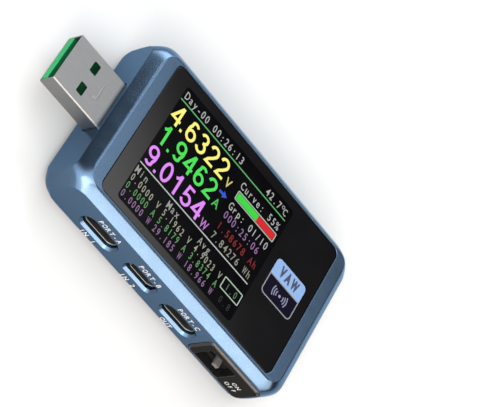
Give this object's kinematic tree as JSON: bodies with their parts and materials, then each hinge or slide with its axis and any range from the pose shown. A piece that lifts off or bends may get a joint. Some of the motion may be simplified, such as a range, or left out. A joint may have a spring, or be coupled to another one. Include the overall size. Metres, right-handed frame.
{
  "type": "usb power meter",
  "caption": "Pocket in-line USB power meter: slim chamfered box with a colour screen, a plug at one end, a socket at the other, side ports, slide switch, thumb dial and back key.",
  "frame": {"origin": "middle of the footprint on the back face, which the meter lies on, plug included", "axes": "+Z out of the screen, +X from the plug to the far end's socket, -Y the side with the input ports, +Y the side with the keys"},
  "size_m": [0.0816, 0.0407, 0.014],
  "materials": {
    "case_blue": "slate blue anodised aluminium, satin, with bright flat chamfers",
    "cover_blue": "dark slate blue anodised aluminium, matte",
    "label_film": "dark printed film, semi-gloss",
    "steel": "nickel-plated steel sheet, satin",
    "window_black": "black printed glass, polished",
    "display_glass": "dark display glass",
    "flex_film": "amber polyimide film",
    "pale_plastic": "natural moulded plastic",
    "board_laminate": "green solder mask on glass-fibre laminate",
    "chip_plastic": "black moulding compound",
    "shunt_alloy": "brown resistance alloy",
    "capacitor_ceramic": "tan ceramic",
    "coil_ferrite": "dark grey ferrite",
    "green_plastic": "green moulded insulator",
    "gold_contacts": "gold-plated contact",
    "black_plastic": "black moulded plastic, fine satin"
  },
  "bodies": {
    "meter": {"front_case": "case_blue", "rear_cover": "cover_blue", "rear_label": "label_film", "case_screw_1": "steel", "case_screw_2": "steel", "case_screw_3": "steel", "case_screw_4": "steel", "window_lens": "window_black", "display_panel": "display_glass", "display_backlight": "steel", "display_ribbon": "flex_film", "display_connector": "pale_plastic", "main_board": "board_laminate", "controller_chip": "chip_plastic", "metering_chip": "chip_plastic", "protocol_chip": "chip_plastic", "memory_chip": "chip_plastic", "current_shunt": "shunt_alloy", "capacitor_1": "capacitor_ceramic", "capacitor_2": "capacitor_ceramic", "capacitor_3": "capacitor_ceramic", "crystal": "steel", "supply_coil": "coil_ferrite", "radio_module": "board_laminate", "radio_shield": "steel", "usb_plug_shell": "steel", "usb_plug_tongue": "green_plastic", "usb_plug_contact_1": "gold_contacts", "usb_plug_contact_2": "gold_contacts", "usb_plug_contact_3": "gold_contacts", "usb_plug_contact_4": "gold_contacts", "usb_socket_shell": "steel", "usb_socket_tongue": "green_plastic", "usb_socket_contact_1": "gold_contacts", "usb_socket_contact_2": "gold_contacts", "usb_socket_contact_3": "gold_contacts", "usb_socket_contact_4": "gold_contacts", "type_c_input_shell": "steel", "type_c_input_tongue": "black_plastic", "type_c_output_shell": "steel", "type_c_output_tongue": "black_plastic", "micro_usb_input_shell": "steel", "micro_usb_input_tongue": "black_plastic", "pc_port_shell": "steel", "pc_port_tongue": "black_plastic", "switch_bezel": "black_plastic", "slide_switch_body": "chip_plastic", "dial_switch_body": "chip_plastic", "back_switch_body": "chip_plastic"},
    "switch_knob": {"slide_knob": "black_plastic"},
    "dial_carriage": {"dial_pin": "steel"},
    "dial": {"dial_lever": "black_plastic"},
    "back_key": {"back_button": "black_plastic", "back_switch_plunger": "pale_plastic"}
  },
  "joints": [
    {"name": "switch_slide", "type": "slide", "parent": "meter", "child": "switch_knob", "axis": [-1, 0, 0], "range_m": [0, 0.002]},
    {"name": "dial_press", "type": "slide", "parent": "meter", "child": "dial_carriage", "axis": [0, -1, 0], "range_m": [0, 0.0004], "stiffness_N_per_m": 1500},
    {"name": "dial_tilt", "type": "hinge", "parent": "dial_carriage", "child": "dial", "pos_m": [0.028, 0.01635, 0.0066], "axis": [0, 0, 1], "range_deg": [-12, 12], "stiffness_Nm_per_rad": 0.02},
    {"name": "back_key_press", "type": "slide", "parent": "meter", "child": "back_key", "axis": [0, -1, 0], "range_m": [0, 0.0004], "stiffness_N_per_m": 1500}
  ]
}
